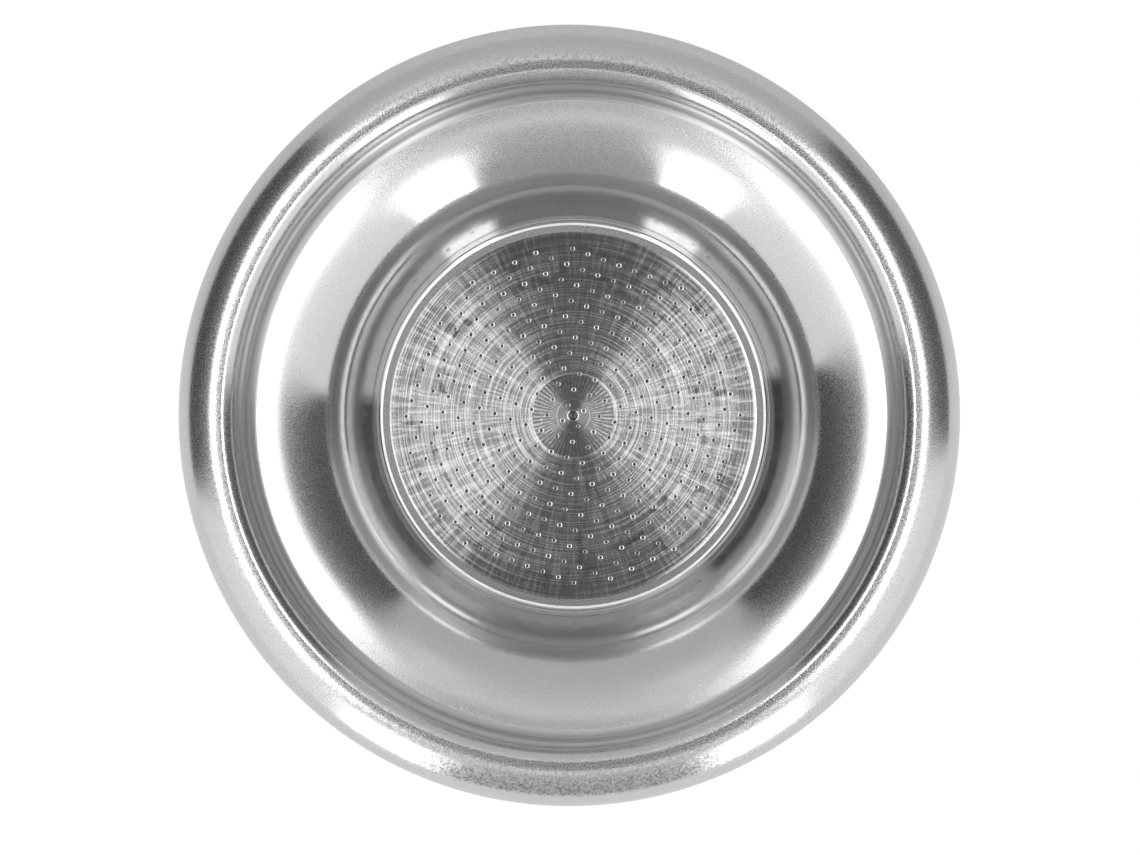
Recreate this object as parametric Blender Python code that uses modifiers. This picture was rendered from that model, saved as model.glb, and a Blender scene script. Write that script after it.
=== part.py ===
"""One-cup espresso filter basket, deep-drawn from a single stainless sheet.

The basket stands on its base with the mouth upwards: +Z runs up the axis and the origin is the
centre of the underside. One outline of the inner face is turned about Z, given the thickness of
the sheet, and punched with the square field of holes in the base. Lengths are in metres.
"""

import math

import bmesh
import bpy
from mathutils import Vector

MM = 0.001

# Sheet
SHEET = 0.8 * MM

# Rolled rim: a broad outer shoulder that ends in a downward edge, and a tight turn into the wall
RIM_DIAMETER = 70.0 * MM
RIM_WIDTH = 5.2 * MM
RIM_OUTER_ROUND = 3.75 * MM
RIM_INNER_ROUND = 1.2 * MM
RIM_SKIRT = 0.4 * MM
HEIGHT = 24.5 * MM

# Upper wall, straight down from the rim
WALL_DEPTH = 14.8 * MM

# Bead rolled into the upper wall, for the holder's retaining spring
BEAD_DEPTH = 5.2 * MM
BEAD_PROUD = 0.6 * MM
BEAD_ROUND = 0.9 * MM
BEAD_ROOT = 0.4 * MM
BEAD_FLANK = math.radians(52.0)

# Shoulder, which slopes inwards and rounds over into the narrow well
SHOULDER_WIDTH = 11.65 * MM
SHOULDER_CORNER = 1.15 * MM
SHOULDER_SLOPE = math.radians(8.0)
SHOULDER_ROUND = 11.8 * MM
WELL_TAPER = math.radians(27.0)

# Flat base, inside the shoulder's width
BASE_CORNER = 0.5 * MM

# Square field of punched holes, turned on the base, with a cell's middle on the axis, and the
# plain ring left round it
HOLE_MOUTH = 0.60 * MM
HOLE_EXIT = 0.30 * MM
HOLE_PITCH = 1.54 * MM
HOLE_MARGIN = 2.45 * MM
HOLE_TURN = math.radians(-20.0)
HOLE_SIDES = 5

# Fineness of the turned faces: flats round the axis, and how far an arc's chords may sag
TURN_STEPS = 36
CHORD_SAG = 0.08 * MM


def clear_scene():
    """Remove what the file opens with."""
    for old in list(bpy.data.objects):
        bpy.data.objects.remove(old, do_unlink=True)


def new_collection(name):
    """Add an empty collection to the scene."""
    collection = bpy.data.collections.new(name)
    bpy.context.scene.collection.children.link(collection)
    return collection


def stainless():
    """Bright pressed stainless steel."""
    material = bpy.data.materials.new("stainless_steel")
    material.use_nodes = True
    shader = material.node_tree.nodes["Principled BSDF"]
    shader.inputs["Base Color"].default_value = (0.66, 0.66, 0.67, 1.0)
    shader.inputs["Metallic"].default_value = 1.0
    shader.inputs["Roughness"].default_value = 0.16
    return material


def rounded(before, corner, after, radius):
    """Return the points of the arc that rounds a corner between two straight runs."""
    back = (before - corner).normalized()
    ahead = (after - corner).normalized()
    opening = back.angle(ahead)
    turn = math.pi - opening
    start = corner + back * (radius * math.tan(turn / 2))
    centre = corner + (back + ahead).normalized() * (radius / math.sin(opening / 2))
    side = math.copysign(1.0, back.x * ahead.y - back.y * ahead.x)
    steps = math.ceil(turn / (2 * math.acos(max(0.0, 1 - CHORD_SAG / radius))))
    spoke = start - centre
    points = []
    for step in range(steps + 1):
        angle = side * turn * step / steps
        cos, sin = math.cos(angle), math.sin(angle)
        points.append(centre + Vector((spoke.x * cos + spoke.y * sin, spoke.y * cos - spoke.x * sin)))
    return points


def wall_radius():
    """Return the radius of the upper wall's inner face."""
    return RIM_DIAMETER / 2 - RIM_WIDTH


def base_radius():
    """Return the radius at which the well's line meets the base."""
    return wall_radius() - SHOULDER_WIDTH


def shoulder_meets_well(wall_foot, base_edge):
    """Return the sharp corner between the shoulder's line and the well's, and the round that fits."""
    fall = math.tan(SHOULDER_SLOPE)
    climb = 1 / math.tan(WELL_TAPER)
    drop = wall_foot.y - base_edge.y
    radius = (drop - fall * wall_foot.x + climb * base_edge.x) / (climb - fall)
    corner = Vector((radius, base_edge.y + climb * (radius - base_edge.x)))

    steepness = math.pi / 2 - WELL_TAPER
    upper_turn = math.pi / 2 - SHOULDER_SLOPE
    upper_room = (wall_foot - corner).length - SHOULDER_CORNER * math.tan(upper_turn / 2)
    lower_room = (corner - base_edge).length - BASE_CORNER * math.tan(steepness / 2)
    largest_round = min(upper_room, lower_room) / math.tan((steepness - SHOULDER_SLOPE) / 2)
    return corner, min(SHOULDER_ROUND, largest_round)


def inner_outline():
    """Return radius and height along the sheet's inner face, from the flat base to the rim's edge."""
    rim = RIM_DIAMETER / 2
    wall = wall_radius()
    base_edge = Vector((base_radius(), SHEET))
    wall_foot = Vector((wall, HEIGHT - WALL_DEPTH))

    bead_middle = HEIGHT - BEAD_DEPTH
    bead_reach = BEAD_PROUD + BEAD_ROUND * (1 / math.cos(BEAD_FLANK) - 1)
    bead_half = bead_reach / math.tan(BEAD_FLANK)

    corners = [
        (base_edge, BASE_CORNER),
        shoulder_meets_well(wall_foot, base_edge),
        (wall_foot, SHOULDER_CORNER),
        (Vector((wall, bead_middle - bead_half)), BEAD_ROOT),
        (Vector((wall - bead_reach, bead_middle)), BEAD_ROUND),
        (Vector((wall, bead_middle + bead_half)), BEAD_ROOT),
        (Vector((wall, HEIGHT)), RIM_INNER_ROUND),
        (Vector((rim, HEIGHT)), RIM_OUTER_ROUND),
    ]
    axis = Vector((0.0, SHEET))
    rim_edge = Vector((rim, HEIGHT - RIM_OUTER_ROUND - RIM_SKIRT))
    stops = [axis] + [corner for corner, radius in corners] + [rim_edge]

    outline = []
    for index, (corner, radius) in enumerate(corners):
        outline += rounded(stops[index], corner, stops[index + 2], radius)
    return without_doubles(outline + [rim_edge])


def without_doubles(points):
    """Drop each point that repeats the one before it, where two arcs meet."""
    kept = [points[0]]
    for point in points[1:]:
        if (point - kept[-1]).length > 0.001 * MM:
            kept.append(point)
    return kept


def turned_face(name, outline, collection):
    """Turn an open outline about Z, and close its inner end with one flat face."""
    mesh = bpy.data.meshes.new(name)
    points = [(point.x, 0.0, point.y) for point in outline]
    mesh.from_pydata(points, [(index, index + 1) for index in range(len(points) - 1)], [])
    turned = bpy.data.objects.new(name, mesh)
    collection.objects.link(turned)

    screw = turned.modifiers.new("turn", 'SCREW')
    screw.axis = 'Z'
    screw.angle = math.tau
    screw.steps = TURN_STEPS
    screw.render_steps = TURN_STEPS
    screw.use_merge_vertices = True
    screw.merge_threshold = 0.001 * MM

    depsgraph = bpy.context.evaluated_depsgraph_get()
    turned.data = bpy.data.meshes.new_from_object(turned.evaluated_get(depsgraph))
    turned.modifiers.clear()

    work = bmesh.new()
    work.from_mesh(turned.data)
    base_height = outline[0].y
    ends = [edge for edge in work.edges if edge.is_boundary]
    base_edge = [edge for edge in ends if abs(edge.verts[0].co.z - base_height) < 0.01 * MM]
    bmesh.ops.holes_fill(work, edges=base_edge, sides=0)
    work.to_mesh(turned.data)
    work.free()
    return turned


def hole_centres():
    """Return the centres of the cells of the square field that lie inside its circle."""
    field = base_radius() - HOLE_MARGIN
    reach = math.ceil(field / HOLE_PITCH)
    cos, sin = math.cos(HOLE_TURN), math.sin(HOLE_TURN)
    centres = []
    for column in range(-reach, reach):
        for row in range(-reach, reach):
            x = (column + 0.5) * HOLE_PITCH
            y = (row + 0.5) * HOLE_PITCH
            if math.hypot(x, y) <= field:
                centres.append(Vector((x * cos - y * sin, x * sin + y * cos, 0.0)))
    return centres


def hole_punches(collection):
    """Build the tapered punches, longer than the sheet is thick, as one cutter."""
    past = SHEET / 2
    taper = (HOLE_MOUTH - HOLE_EXIT) / 2 / SHEET
    work = bmesh.new()
    for centre in hole_centres():
        punch = bmesh.ops.create_cone(
            work,
            cap_ends=True,
            segments=HOLE_SIDES,
            radius1=HOLE_EXIT / 2 - taper * past / 2,
            radius2=HOLE_MOUTH / 2 + taper * past,
            depth=SHEET + 1.5 * past,
        )
        middle = Vector((0.0, 0.0, (SHEET + past / 2) / 2))
        bmesh.ops.translate(work, verts=punch["verts"], vec=centre + middle)
    mesh = bpy.data.meshes.new("hole_punches")
    work.to_mesh(mesh)
    work.free()
    punches = bpy.data.objects.new("hole_punches", mesh)
    punches.display_type = 'WIRE'
    punches.hide_render = True
    collection.objects.link(punches)
    return punches


def filter_basket(collection, punches):
    """Give the turned face the sheet's thickness, and punch the base."""
    basket = turned_face("filter_basket", inner_outline(), collection)
    basket.data.materials.append(stainless())

    sheet = basket.modifiers.new("sheet", 'SOLIDIFY')
    sheet.thickness = SHEET
    sheet.offset = -1.0
    sheet.use_even_offset = True

    holes = basket.modifiers.new("holes", 'BOOLEAN')
    holes.operation = 'DIFFERENCE'
    holes.solver = 'EXACT'
    holes.object = punches

    basket.data.shade_smooth()
    basket.data.set_sharp_from_angle(angle=math.radians(40.0))
    return basket


def build():
    """Make the whole basket."""
    clear_scene()
    basket = new_collection("espresso_filter_basket")
    cutters = new_collection("cutters")
    filter_basket(basket, hole_punches(cutters))


build()
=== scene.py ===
import math
import random

import bmesh
import bpy
from mathutils import Matrix, Vector


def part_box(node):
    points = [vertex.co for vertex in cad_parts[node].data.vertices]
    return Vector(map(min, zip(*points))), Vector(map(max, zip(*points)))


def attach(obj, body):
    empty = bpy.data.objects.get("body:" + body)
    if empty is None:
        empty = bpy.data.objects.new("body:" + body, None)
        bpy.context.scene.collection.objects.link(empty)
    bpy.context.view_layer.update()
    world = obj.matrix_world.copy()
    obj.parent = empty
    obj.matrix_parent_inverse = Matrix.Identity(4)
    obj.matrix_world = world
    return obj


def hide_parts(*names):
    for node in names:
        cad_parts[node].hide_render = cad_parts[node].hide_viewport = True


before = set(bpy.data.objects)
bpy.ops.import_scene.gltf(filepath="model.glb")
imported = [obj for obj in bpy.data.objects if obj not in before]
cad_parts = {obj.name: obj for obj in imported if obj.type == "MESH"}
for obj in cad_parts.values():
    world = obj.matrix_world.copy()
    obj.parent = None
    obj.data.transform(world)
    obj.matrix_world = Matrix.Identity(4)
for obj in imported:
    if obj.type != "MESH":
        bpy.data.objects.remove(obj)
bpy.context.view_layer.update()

MM = 0.001


# The drawn cup: one sheet of stainless steel, pressed down from the rolled rim through the beaded
# upper wall and the round shoulder into the tapered well. Nothing is fixed to it. Its inner face
# is drawn as an outline of straight runs and rounded corners, and the outer face runs parallel.

low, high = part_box("filter_basket")
RIM = (high.x - low.x) / 2
HEIGHT = high.z
SHEET = 0.8 * MM

RIM_OUTER_ROUND = 3.65 * MM
RIM_INNER_ROUND = 1.22 * MM
RIM_SKIRT = 0.5 * MM
WALL = 29.8 * MM
SHOULDER_TOP = HEIGHT - 14.8 * MM
SHOULDER_SLOPE = math.radians(8.0)
SHOULDER_ROUND = 11.8 * MM
SHOULDER_CORNER = 1.15 * MM
BEAD_MIDDLE = HEIGHT - 5.2 * MM
BEAD_PROUD = 0.6 * MM
BEAD_ROUND = 0.9 * MM
BEAD_ROOT = 0.4 * MM
BEAD_FLANK = math.radians(52.0)
WELL_TAPER = math.radians(27.0)
BASE = 18.15 * MM
BASE_CORNER = 0.5 * MM
DISC = 16.8 * MM
DISC_SUNK = 0.035 * MM
DISC_LIP = 0.33 * MM
DISC_LIP_ROUND = 0.3 * MM

INSIDE_STEP = math.radians(2.5)
OUTSIDE_STEP = math.radians(8.0)
LEAST_STEPS = 3
CUP_FLATS = 180
WELD = 0.002 * MM

fall = math.tan(SHOULDER_SLOPE)
climb = 1 / math.tan(WELL_TAPER)
turn_in = (SHOULDER_TOP - SHEET - fall * WALL + climb * BASE) / (climb - fall)
bead_reach = BEAD_PROUD + BEAD_ROUND * (1 / math.cos(BEAD_FLANK) - 1)
bead_half = bead_reach / math.tan(BEAD_FLANK)

inner = [
    (Vector((DISC, SHEET - DISC_SUNK)), 0.0),
    (Vector((DISC + DISC_LIP, SHEET)), DISC_LIP_ROUND),
    (Vector((BASE, SHEET)), BASE_CORNER),
    (Vector((turn_in, SHEET + climb * (turn_in - BASE))), SHOULDER_ROUND),
    (Vector((WALL, SHOULDER_TOP)), SHOULDER_CORNER),
    (Vector((WALL, BEAD_MIDDLE - bead_half)), BEAD_ROOT),
    (Vector((WALL - bead_reach, BEAD_MIDDLE)), BEAD_ROUND),
    (Vector((WALL, BEAD_MIDDLE + bead_half)), BEAD_ROOT),
    (Vector((WALL, HEIGHT)), RIM_INNER_ROUND),
    (Vector((RIM, HEIGHT)), RIM_OUTER_ROUND),
    (Vector((RIM, HEIGHT - RIM_OUTER_ROUND - RIM_SKIRT)), 0.0),
]


def heading(start, end):
    """The unit direction of a straight run."""
    return (end - start).normalized()


def bend(before, after):
    """How far an outline turns at a corner, positive to the left."""
    return math.atan2(before.x * after.y - before.y * after.x, before.dot(after))


def parallel(corners, distance):
    """The same outline moved to its right by a distance, with its rounds grown or shrunk to match."""
    moved = []
    for place, (corner, rounding) in enumerate(corners):
        runs = []
        if place > 0:
            runs.append(heading(corners[place - 1][0], corner))
        if place < len(corners) - 1:
            runs.append(heading(corner, corners[place + 1][0]))
        rights = [Vector((run.y, -run.x)) for run in runs]
        if len(rights) == 1:
            moved.append((corner + rights[0] * distance, 0.0))
            continue
        mitre = (rights[0] + rights[1]) / (1 + rights[0].dot(rights[1]))
        grown = rounding + math.copysign(distance, bend(*runs))
        moved.append((corner + mitre * distance, grown))
    return moved


def draw(work, corners, step):
    """Draw an outline with one moving vertex, its rounds in chords that turn by a step at most."""
    place = corners[0][0]
    tip = bmesh.ops.create_vert(work, co=(place.x, 0.0, place.y))["vert"][0]
    for (before, _), (corner, rounding), (after, _) in zip(corners, corners[1:], corners[2:]):
        arriving = heading(before, corner)
        turn = bend(arriving, heading(corner, after))
        start = corner - arriving * abs(rounding * math.tan(turn / 2))
        tip = run_to(work, tip, start)
        left = Vector((-arriving.y, arriving.x)) * math.copysign(rounding, turn)
        centre = start + left
        swung = bmesh.ops.spin(
            work,
            geom=[tip],
            cent=(centre.x, 0.0, centre.y),
            axis=(0.0, -1.0, 0.0),
            angle=turn,
            steps=max(LEAST_STEPS, math.ceil(abs(turn) / step)),
        )
        tip = swung["geom_last"][0]
    run_to(work, tip, corners[-1][0])


def run_to(work, tip, place):
    """Pull a straight edge out of a vertex to a place in the outline's plane."""
    pulled = bmesh.ops.extrude_vert_indiv(work, verts=[tip])["verts"][0]
    pulled.co = (place.x, 0.0, place.y)
    return pulled


def turn_round(work, flats):
    """Turn all that is drawn once round the Z axis, as one closed ring of faces."""
    bmesh.ops.remove_doubles(work, verts=work.verts[:], dist=WELD)
    bmesh.ops.spin(
        work,
        geom=work.verts[:] + work.edges[:],
        cent=(0.0, 0.0, 0.0),
        axis=(0.0, 0.0, 1.0),
        angle=math.tau,
        steps=flats,
        use_merge=True,
    )
    bmesh.ops.remove_doubles(work, verts=work.verts[:], dist=WELD)


# The underside stays flat below the recess
outer = parallel(inner[1:], SHEET)
outer[0] = (Vector((DISC, 0.0)), 0.0)
rim_edge = outer[-1]
cup = bmesh.new()
draw(cup, inner + [rim_edge], INSIDE_STEP)
draw(cup, outer, OUTSIDE_STEP)
turn_round(cup, CUP_FLATS)


# The perforated base: the sheet's own floor, faced off inside by a turned recess, then punched in
# a square field that is turned on the axis. Each punch has drawn the metal round its hole down
# into a shallow dimple, and every second one has gone deeper.

HOLE = 0.16 * MM
DIMPLE = 0.245 * MM
DEEP_SLOPE = math.radians(6.5)
LIGHT_SLOPE = math.radians(3.8)
LIP = 0.01 * MM
UNEVEN = 0.15
PITCH = 1.54 * MM
FIELD = 15.7 * MM
FIELD_TURN = math.radians(-20.0)

DIMPLE_STEPS = 3
LIP_STEPS = 2
HOLE_FLATS = 14

floor_top = SHEET - DISC_SUNK


def punched(name, slope):
    """One hole with a dimple that starts at this slope, and a round lip where it turns down."""
    bowl_round = DIMPLE / math.sin(slope)
    lip_slope = math.asin((HOLE + LIP) / bowl_round)
    lip_round = LIP / (1 - math.sin(lip_slope))
    punch = bmesh.new()
    tip = bmesh.ops.create_vert(punch, co=(DIMPLE, 0.0, floor_top))["vert"][0]
    dimple = bmesh.ops.spin(
        punch,
        geom=[tip],
        cent=(0.0, 0.0, floor_top + bowl_round * math.cos(slope)),
        axis=(0.0, 1.0, 0.0),
        angle=slope - lip_slope,
        steps=DIMPLE_STEPS,
    )
    tip = dimple["geom_last"][0]
    to_middle = Vector((lip_round * math.sin(lip_slope), 0.0, -lip_round * math.cos(lip_slope)))
    lip = bmesh.ops.spin(
        punch,
        geom=[tip],
        cent=tip.co + to_middle,
        axis=(0.0, -1.0, 0.0),
        angle=math.pi / 2 - lip_slope,
        steps=LIP_STEPS,
    )
    run_to(punch, lip["geom_last"][0], Vector((HOLE, 0.0)))
    turn_round(punch, HOLE_FLATS)
    hole = bpy.data.meshes.new(name)
    punch.to_mesh(hole)
    punch.free()
    return hole


deep_hole = punched("deep_hole", DEEP_SLOPE)
light_hole = punched("light_hole", LIGHT_SLOPE)

reach = math.ceil(FIELD / PITCH)
wear = random.Random(4)
for column in range(-reach, reach):
    for row in range(-reach, reach):
        centre = Vector(((column + 0.5) * PITCH, (row + 0.5) * PITCH, 0.0))
        if centre.length > FIELD:
            continue
        hole = light_hole if (column + row) % 2 else deep_hole
        size = 1 - UNEVEN * wear.random()
        turn = Matrix.Rotation(FIELD_TURN, 4, 'Z')
        placed = turn @ Matrix.Translation(centre) @ Matrix.Diagonal((size, size, 1.0, 1.0))
        hole.transform(placed)
        cup.from_mesh(hole)
        hole.transform(placed.inverted())

STEEL, BRUSHED, ROLLED = 0, 1, 2
ROLLED_IN = 0.9 * MM
ROLLED_OVER = 1.0 * MM

for face in cup.faces:
    face.smooth = True
    middle = face.calc_center_median()
    on_wall = SHOULDER_TOP - SHEET < middle.z < BEAD_MIDDLE + ROLLED_OVER
    if middle.xy.length < DISC + DISC_LIP and middle.z > SHEET / 2:
        face.material_index = BRUSHED
    elif middle.xy.length > WALL - ROLLED_IN and on_wall:
        face.material_index = ROLLED
    else:
        face.material_index = STEEL

for level, up in ((floor_top, 1.0), (0.0, -1.0)):
    mouths = [edge for edge in cup.edges if edge.is_boundary
              and all(abs(vert.co.z - level) < 2 * WELD for vert in edge.verts)]
    filled = bmesh.ops.triangle_fill(cup, use_beauty=True, edges=mouths, normal=(0.0, 0.0, up))
    for face in filled["geom"]:
        if isinstance(face, bmesh.types.BMFace):
            face.smooth = False
            face.material_index = BRUSHED
bmesh.ops.recalc_face_normals(cup, faces=cup.faces[:])

basket_mesh = bpy.data.meshes.new("basket")
cup.to_mesh(basket_mesh)
cup.free()
basket = bpy.data.objects.new("basket", basket_mesh)
bpy.context.scene.collection.objects.link(basket)


# The drawn finish: the sheet's own bright surface, left with a fine grain and a little haze by the
# press. It is smoothest in the lower bowl and the well. The ledge round the base is duller, the
# strip beside it burnished and painted lighter as a painted highlight line at the corner, and the rim's
# crest and front are slightly pitted by use.

GRAIN = 0.1 * MM
GRAIN_DEPTH = 0.005 * MM
PIT = 0.28 * MM
QUARTER_TURN = 0.25

# An edge is where a change starts and where it ends, and a band is its two sides and their softness
POLISH_EDGE = (7.4 * MM, 8.8 * MM)
HAZE_EDGE = (6.2 * MM, 7.2 * MM)
CREST_EDGE = (HEIGHT - 0.8 * MM, HEIGHT - 0.4 * MM)
FRONT_EDGE = (-32.0 * MM, -26.0 * MM)
FLOOR_BAND = (0.6 * MM, 1.3 * MM, 0.1 * MM)
LEDGE_BAND = (17.15 * MM, 17.75 * MM, 0.03 * MM)
BURNISHED_HIGHLIGHT_BAND = (17.78 * MM, 18.0 * MM, 0.03 * MM)
CREST_BAND = (30.7 * MM, 32.3 * MM, 0.4 * MM)
FRONT_BAND = (32.5 * MM, 33.9 * MM, 0.2 * MM)


class Signal:
    """A value in a shader's graph, so that a sum of shader values is written as a Python sum."""

    def __init__(self, socket):
        self.socket = socket
        self.tree = socket.id_data

    @classmethod
    def of(cls, tree, kind, settings=(), inputs=(), output=0):
        """Add a node, set it up, fill or link its sockets, and return one of its outputs."""
        node = tree.nodes.new(kind)
        for name, value in dict(settings).items():
            if name == "stops":
                ramp = node.color_ramp
                while len(ramp.elements) < len(value):
                    ramp.elements.new(0.5)
                for element, (position, level) in zip(ramp.elements, value):
                    element.position = position
                    element.color = (level, level, level, 1.0)
            else:
                setattr(node, name, value)
        for key, value in dict(inputs).items():
            if isinstance(value, Signal):
                value.feed(node.inputs[key])
            else:
                node.inputs[key].default_value = value
        return cls(node.outputs[output])

    def feed(self, socket):
        """Link this value to a socket."""
        self.tree.links.new(self.socket, socket)

    def maths(self, operation, *others):
        """This value, and any others after it, put through a Math node."""
        values = enumerate((self, *others))
        return Signal.of(self.tree, 'ShaderNodeMath', {"operation": operation}, values)

    def __add__(self, other):
        return self.maths('ADD', other)

    __radd__ = __add__

    def __sub__(self, other):
        return self.maths('SUBTRACT', other)

    def __rsub__(self, other):
        return self.maths('MULTIPLY_ADD', -1.0, other)

    def __mul__(self, other):
        return self.maths('MULTIPLY', other)

    __rmul__ = __mul__

    def __truediv__(self, other):
        return self.maths('DIVIDE', other)

    def __abs__(self):
        return self.maths('ABSOLUTE')

    def eased(self, start, end):
        """0 at one value, 1 at another, and a smooth step between them."""
        return Signal.of(
            self.tree, 'ShaderNodeMapRange', {"interpolation_type": 'SMOOTHSTEP'},
            {"Value": self, "From Min": start, "From Max": end},
        )

    def within(self, start, end, soft):
        """1 between two values and 0 outside them, with sides as soft as this."""
        return self.eased(start - soft, start + soft) * (1 - self.eased(end - soft, end + soft))

    def covered(self, mask, level):
        """This value, covered by another level where a mask is 1."""
        return self + mask * (level - self)


def split(vector):
    """The three parts of a vector."""
    parts = Signal.of(vector.tree, 'ShaderNodeSeparateXYZ', inputs={"Vector": vector})
    return [Signal(socket) for socket in parts.socket.node.outputs]


def length(across, along):
    """The length of a flat vector, from its two parts."""
    return (across * across + along * along).maths('SQRT')


def noise(vector, scale, detail):
    """Even noise, with this many features to a unit of the vector."""
    return Signal.of(
        vector.tree, 'ShaderNodeTexNoise', {"noise_dimensions": '3D'},
        {"Vector": vector, "Scale": scale, "Detail": detail, "Roughness": 0.6},
    )


def new_finish(name, shade, roughness, anisotropy):
    """A bare metal whose scratches run round the axis, its shader, and its coordinates."""
    material = bpy.data.materials.new(name)
    material.use_nodes = True
    shader = material.node_tree.nodes["Principled BSDF"]
    shader.inputs["Base Color"].default_value = (shade, shade, shade, 1.0)
    shader.inputs["Metallic"].default_value = 1.0
    shader.inputs["Roughness"].default_value = roughness
    shader.inputs["Anisotropic"].default_value = anisotropy
    shader.inputs["Anisotropic Rotation"].default_value = QUARTER_TURN
    return material, shader, Signal.of(material.node_tree, 'ShaderNodeTexCoord', output="Object")


def raise_surface(shader, height, depth):
    """Raise a height pattern on the surface by a real depth."""
    raised = Signal.of(
        height.tree, 'ShaderNodeBump', inputs={"Height": height, "Distance": depth, "Strength": 1.0})
    raised.feed(shader.inputs["Normal"])


def drawn_steel():
    """The drawn finish, on all of the sheet but the rolled wall and the brushed base."""
    material, shader, place = new_finish("drawn_steel", shade=0.64, roughness=0.17, anisotropy=0.75)
    x, y, z = split(place)
    radius = length(x, y)
    on_floor = z.within(*FLOOR_BAND)
    burnished_highlight = radius.within(*BURNISHED_HIGHLIGHT_BAND) * on_floor
    ledge = radius.within(*LEDGE_BAND) * on_floor
    crest = radius.within(*CREST_BAND) * z.eased(*CREST_EDGE)
    front = radius.within(*FRONT_BAND) * (1 - y.eased(*FRONT_EDGE))
    clear = 1 - z.eased(*HAZE_EDGE)
    polished = 1 - z.eased(*POLISH_EDGE)
    pits = 1 - noise(place, 1 / PIT, 2.0).eased(0.4, 0.56)
    grain = noise(place, 1 / GRAIN, 1.0)
    speckle = grain.eased(0.36, 0.64)

    # Base colour: the burnished strip beside the ledge is painted far lighter, a painted highlight line
    # along the base's corner.
    shade = 0.6 + 0.08 * speckle + 0.32 * burnished_highlight + front * (0.13 - 0.42 * pits) - 0.16 * crest * pits
    shade.feed(shader.inputs["Base Color"])
    blur = 0.14 + 0.04 * speckle - 0.08 * polished + 0.4 * burnished_highlight + 0.02 * ledge
    blur = blur + crest * (0.08 * speckle - 0.07)
    blur.feed(shader.inputs["Roughness"])
    bare = 1 - ledge * (0.25 + 0.3 * speckle)
    bare.feed(shader.inputs["Metallic"])

    haze = (0.3 + 0.7 * speckle) * (1 - 0.75 * clear)
    haze.feed(shader.inputs["Coat Weight"])
    shader.inputs["Coat Roughness"].default_value = 0.5
    shader.inputs["Coat IOR"].default_value = 2.8
    raise_surface(shader, grain * (1 - 0.6 * polished), GRAIN_DEPTH)
    return material


basket.data.materials.append(drawn_steel())


# The brushed finish: the inside of the base, faced on a lathe. The tool has left circles, crossed
# by faint rays, with a few duller patches near its border. Inside a scored ring is a hub that is
# rubbed in spokes, a plain middle, and the pip that the lathe's centre has left, with painted shade in
# its hollow.

CIRCLE = 0.12 * MM
RAY_LENGTH = 3.0 * MM
RAYS_PER_RADIAN = 55.0
FAN_LENGTH = 9.0 * MM
PATCH = 1.2 * MM
BLOTCH = 0.6 * MM
LENGTHS_PER_RADIAN = 9.0
DUST = 0.12 * MM
SPOKES = 60
PATCHED_BAND = (11.2 * MM, 15.6 * MM, 0.6 * MM)
BORDER_EDGE = (14.6 * MM, 16.0 * MM)
HUB_EDGE = (3.78 * MM, 3.88 * MM)
HUB_SCORE = (3.88 * MM, 4.12 * MM, 0.04 * MM)
MIDDLE_EDGE = (1.7 * MM, 1.8 * MM)
MIDDLE_SCORE = (1.5 * MM, 1.62 * MM, 0.03 * MM)
PIP_EDGE = (0.45 * MM, 0.55 * MM)
UPPER_FACE = (0.3 * MM, 0.4 * MM)
RIPPLE = 0.2 * MM
RIPPLE_DEPTH = 0.0015 * MM
PIP_DEPTH = 6


def round_noise(place, width, lengths, detail):
    """Noise in rings of about this width, cut into about this many lengths per radian."""
    x, y, z = split(place)
    radius = length(x, y)
    unrolled = Signal.of(
        place.tree, 'ShaderNodeCombineXYZ',
        inputs={"X": (radius + z) / width, "Y": x / radius * lengths, "Z": y / radius * lengths},
    )
    return noise(unrolled, 1.0, detail)


def brushed_steel():
    """The brushed finish of the base."""
    material, shader, place = new_finish("brushed_steel", shade=0.55, roughness=0.145, anisotropy=0.95)
    x, y, z = split(place)
    radius = length(x, y)
    circles = round_noise(place, CIRCLE, 0.9, 1.0).eased(0.46, 0.62)
    rays = round_noise(place, RAY_LENGTH, RAYS_PER_RADIAN, 1.0).eased(0.46, 0.64)
    fans = round_noise(place, FAN_LENGTH, LENGTHS_PER_RADIAN, 1.0).eased(0.36, 0.64)
    patches = round_noise(place, PATCH, LENGTHS_PER_RADIAN, 1.0).eased(0.58, 0.66)
    patches = patches * radius.within(*PATCHED_BAND)
    dust = noise(place, 1 / DUST, 1.0).eased(0.35, 0.65)

    hub = 1 - radius.eased(*HUB_EDGE)
    spokes = (y.maths('ARCTAN2', x) * SPOKES).maths('SINE').eased(-0.3, 0.7)
    blotches = round_noise(place, BLOTCH, LENGTHS_PER_RADIAN, 1.0).eased(0.38, 0.62)
    spokes = spokes * (0.4 + 0.6 * blotches)
    middle = 1 - radius.eased(*MIDDLE_EDGE)
    pip = (1 - radius.eased(*PIP_EDGE)) * z.eased(*UPPER_FACE)
    scores = radius.within(*HUB_SCORE) + radius.within(*MIDDLE_SCORE)

    # Base colour: the pip is painted darker, painted shade in its hollow.
    shade = 0.53 + 0.06 * circles + 0.02 * rays + 0.03 * fans + 0.08 * dust - 0.3 * pip
    shade.feed(shader.inputs["Base Color"])
    faced = 0.118 + 0.05 * circles + 0.035 * rays + 0.015 * fans - 0.04 * patches
    faced = faced - 0.02 * radius.eased(*BORDER_EDGE)
    blur = faced.covered(hub, 0.11 + 0.06 * spokes).covered(middle, 0.12) + 0.04 * scores
    blur.feed(shader.inputs["Roughness"])
    raise_surface(shader, noise(place, 1 / RIPPLE, 2.0) - PIP_DEPTH * pip, RIPPLE_DEPTH)
    return material


basket.data.materials.append(brushed_steel())


# The rolled finish: the upper wall, where the bead is rolled in after the drawing. The rollers leave
# the steel duller, with fine lines that run round it.

LINE = 0.25 * MM
LINES_PER_RADIAN = 0.8
ROLLED_GRAIN = 0.13 * MM
ROLLED_DEPTH = 0.002 * MM


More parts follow.
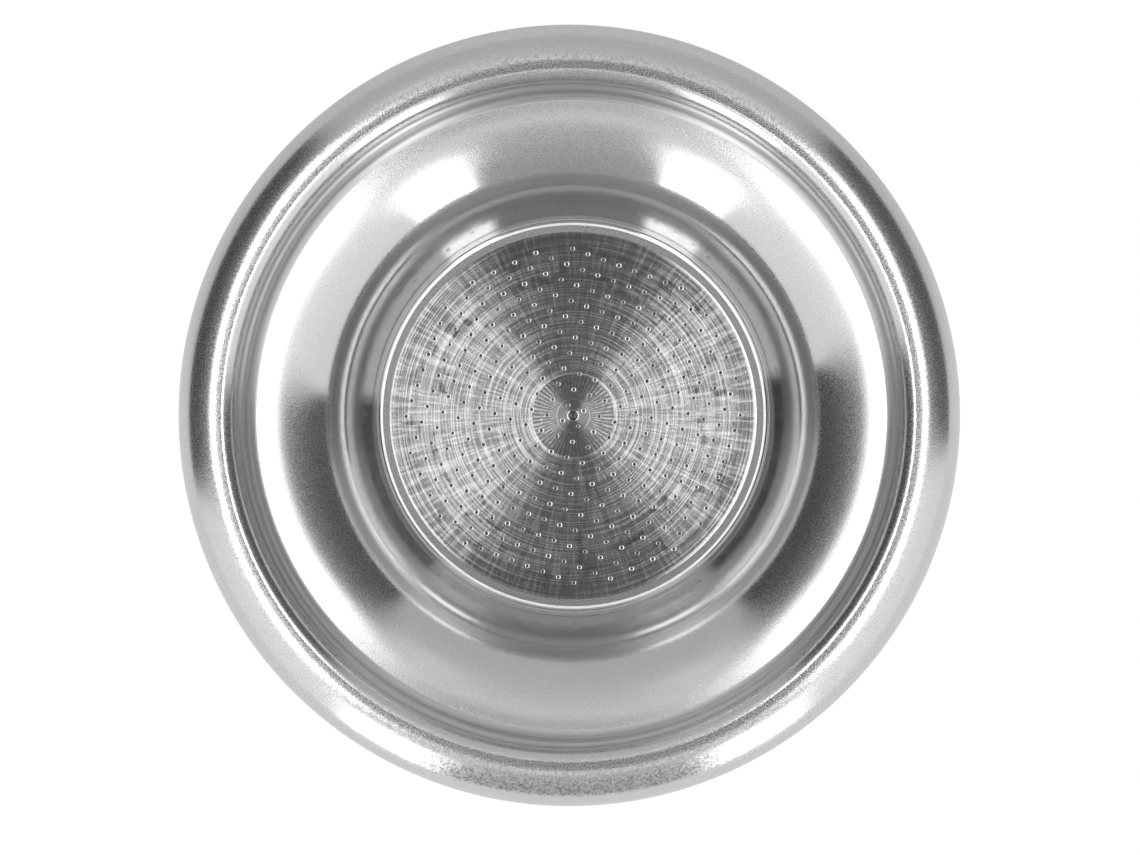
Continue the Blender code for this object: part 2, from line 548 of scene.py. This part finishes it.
def rolled_steel():
    """The rolled finish of the upper wall."""
    material, shader, place = new_finish("rolled_steel", shade=0.6, roughness=0.33, anisotropy=0.75)
    lines = round_noise(place, LINE, LINES_PER_RADIAN, 2.0).eased(0.35, 0.65)
    shade = 0.54 + 0.14 * lines
    shade.feed(shader.inputs["Base Color"])
    blur = 0.35 + 0.04 * lines
    blur.feed(shader.inputs["Roughness"])
    raise_surface(shader, noise(place, 1 / ROLLED_GRAIN, 1.0), ROLLED_DEPTH)
    return material


basket.data.materials.append(rolled_steel())

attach(basket, "root")
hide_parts("filter_basket")


# The ground: a plain sheet of white paper, blown out as in the photograph. It glows where it is
# looked at, and more weakly where the metal mirrors it. Under the basket it is matt, in its shadow.

GROUND_HALF = 1.5
GROUND_GAP = 0.02 * MM
MATT_WHITE = 0.6
GLOW = 1.05
GLOWING_SHARE = 0.95
MIRRORED_IN_FRONT = 0.6
MIRRORED_BEHIND = 0.3
BASKET_EDGE = (24.0 * MM, 34.0 * MM)
FRONT_TO_BACK = (-10.0 * MM, 55.0 * MM)

ground_work = bmesh.new()
bmesh.ops.create_grid(ground_work, x_segments=1, y_segments=1, size=GROUND_HALF)
ground_mesh = bpy.data.meshes.new("ground")
ground_work.to_mesh(ground_mesh)
ground_work.free()
ground = bpy.data.objects.new("ground", ground_mesh)
ground.location.z = -GROUND_GAP
bpy.context.scene.collection.objects.link(ground)


def white_ground():
    """Matt white, with a glow that hides the shadows away from the basket."""
    material = bpy.data.materials.new("white_ground")
    material.use_nodes = True
    tree = material.node_tree
    tree.nodes.remove(tree.nodes["Principled BSDF"])
    x, y, _ = split(Signal.of(tree, 'ShaderNodeTexCoord', output="Object"))
    open_ground = length(x, y).eased(*BASKET_EDGE)
    looked_at = Signal.of(tree, 'ShaderNodeLightPath', output="Is Camera Ray")
    fading = (MIRRORED_IN_FRONT - MIRRORED_BEHIND) * y.eased(*FRONT_TO_BACK)
    mirrored = Signal.of(tree, 'ShaderNodeLightPath', output="Is Glossy Ray")
    mirrored = mirrored * (MIRRORED_IN_FRONT - fading)
    seen = open_ground * looked_at.maths('MAXIMUM', mirrored)
    matt = Signal.of(
        tree, 'ShaderNodeBsdfDiffuse', inputs={"Color": (MATT_WHITE, MATT_WHITE, MATT_WHITE, 1.0)})
    glow = Signal.of(
        tree, 'ShaderNodeEmission', inputs={"Color": (1.0, 1.0, 1.0, 1.0), "Strength": GLOW})
    mixed = Signal.of(
        tree, 'ShaderNodeMixShader', inputs={0: GLOWING_SHARE * seen, 1: matt, 2: glow})
    mixed.feed(tree.nodes["Material Output"].inputs["Surface"])
    return material


ground.data.materials.append(white_ground())


# The light: a white tent, unevenly lit. Two large panels lean over the basket from the left and the
# right, with the dark lens where they meet, and two tall strips stand in front. What stands round
# the basket is placed in degrees of compass, and heights are degrees of tilt from upright.

# Where each side of the tent starts, and how bright it is
SIDES = [(-180, 0.05), (-169, 1.2), (-111, 0.45), (-70, 1.2), (-5, 0.09), (48, 0.7), (133, 0.05)]
SIDE_SOFT = 1.5
HIGH_UP = (32.0, 60.0)
HIGH_UP_LEVEL = 0.08
SPOTS = (62.0, 117.0)
SPOT_TILT = 34.0
SPOT_ACROSS = (2.0, 14.0)
SPOT_UPWARDS = (2.0, 10.0)
SPOT_LEVEL = 0.3
CEILING_EDGE = (22.0, 30.0)
CEILING_LEVEL = 0.95
SHADED_EDGE = (11.0, 15.0)
SHADED_LEVEL = 0.2
PANEL_END_EDGE = (0.29, 0.51)
PANEL_SIDE_EDGE = (0.055, 0.09)
PANEL_FLARE = 0.79
PANEL_LEVEL = 4.0
LENS_EDGE = (0.122, 0.147)
LENS_OVAL = math.sqrt(0.42)
LENS_LEVEL = 0.13
STRIPS = (-60.5, -120.0)
STRIP_HALF = 7.8
STRIP_SOFT = 1.0
STRIP_TOP = (32.0, 35.0)
STRIP_LEVEL = 3.4
LEAST_RISE = 0.02

world = bpy.data.worlds.new("tent")
world.use_nodes = True
bpy.context.scene.world = world
tree = world.node_tree
tree.nodes.remove(tree.nodes["Background"])

x, y, z = split(Signal.of(tree, 'ShaderNodeTexCoord', output="Generated"))
rise = z.maths('MAXIMUM', LEAST_RISE)
over_x = abs(x / rise)
over_y = abs(y / rise)
tilt = z.maths('ARCCOSINE') * math.degrees(1.0)
compass = y.maths('ARCTAN2', x) * math.degrees(1.0)


def round_share(degrees):
    """A direction round the basket as a share of the whole turn."""
    return (degrees + 180) / 360


stops = [(0.0, SIDES[0][1])]
for (start, level), (_, before) in zip(SIDES[1:], SIDES):
    stops.append((round_share(start - SIDE_SOFT), before))
    stops.append((round_share(start + SIDE_SOFT), level))
tent = Signal.of(tree, 'ShaderNodeValToRGB', {"stops": stops}, {"Fac": round_share(compass)})
tent = tent + HIGH_UP_LEVEL * (1 - tilt.eased(*HIGH_UP))
for spot in SPOTS:
    across = 1 - abs(compass - spot).eased(*SPOT_ACROSS)
    upwards = 1 - abs(tilt - SPOT_TILT).eased(*SPOT_UPWARDS)
    tent = tent + SPOT_LEVEL * across * upwards

ceiling = 1 - tilt.eased(*CEILING_EDGE)
ceiling_level = SHADED_LEVEL + (CEILING_LEVEL - SHADED_LEVEL) * tilt.eased(*SHADED_EDGE)
past_side = (over_y - PANEL_FLARE * over_x).eased(*PANEL_SIDE_EDGE)
panels = (1 - over_x.eased(*PANEL_END_EDGE)) * (1 - past_side)
lens = 1 - length(over_x, LENS_OVAL * over_y).eased(*LENS_EDGE)
strips = 0
for strip in STRIPS:
    strips = strips + (1 - abs(compass - strip).eased(STRIP_HALF - STRIP_SOFT, STRIP_HALF + STRIP_SOFT))
strips = strips * tilt.eased(*STRIP_TOP)
looked_at = Signal.of(tree, 'ShaderNodeLightPath', output="Is Camera Ray")

light = tent.covered(ceiling, ceiling_level)
light = light.covered(panels, PANEL_LEVEL).covered(lens, LENS_LEVEL).covered(strips, STRIP_LEVEL)
light = light.covered(looked_at, 1.0)
background = Signal.of(tree, 'ShaderNodeBackground', inputs={"Strength": light})
background.feed(tree.nodes["World Output"].inputs["Surface"])


# The camera: it looks straight down into the cup from a little off the axis, at a distance that
# follows from the perspective of the rim, the shoulder and the base in the photograph.

EYE_ABOVE_RIM = 480.0 * MM
RIM_LEVEL = HEIGHT - RIM_OUTER_ROUND
EYE = Vector((9.6 * MM, -0.6 * MM, RIM_LEVEL + EYE_ABOVE_RIM))
AIM = Vector((0.107 * MM, -1.082 * MM, RIM_LEVEL))
RIM_IN_PICTURE = 390.8
PICTURE_WIDTH = 1140
SENSOR = 36.0
UP_IN_PICTURE = Vector((0.0, 1.0, 0.0))

camera_data = bpy.data.cameras.new("camera")
camera_data.sensor_width = SENSOR
camera_data.lens = RIM_IN_PICTURE * EYE_ABOVE_RIM / RIM / PICTURE_WIDTH * SENSOR
camera_data.clip_start = 0.01
camera = bpy.data.objects.new("camera", camera_data)
camera.location = EYE
back = (EYE - AIM).normalized()
right = UP_IN_PICTURE.cross(back).normalized()
camera.rotation_euler = Matrix((right, back.cross(right), back)).transposed().to_euler()
bpy.context.scene.collection.objects.link(camera)
bpy.context.scene.camera = camera
bpy.context.scene.view_settings.view_transform = 'Standard'
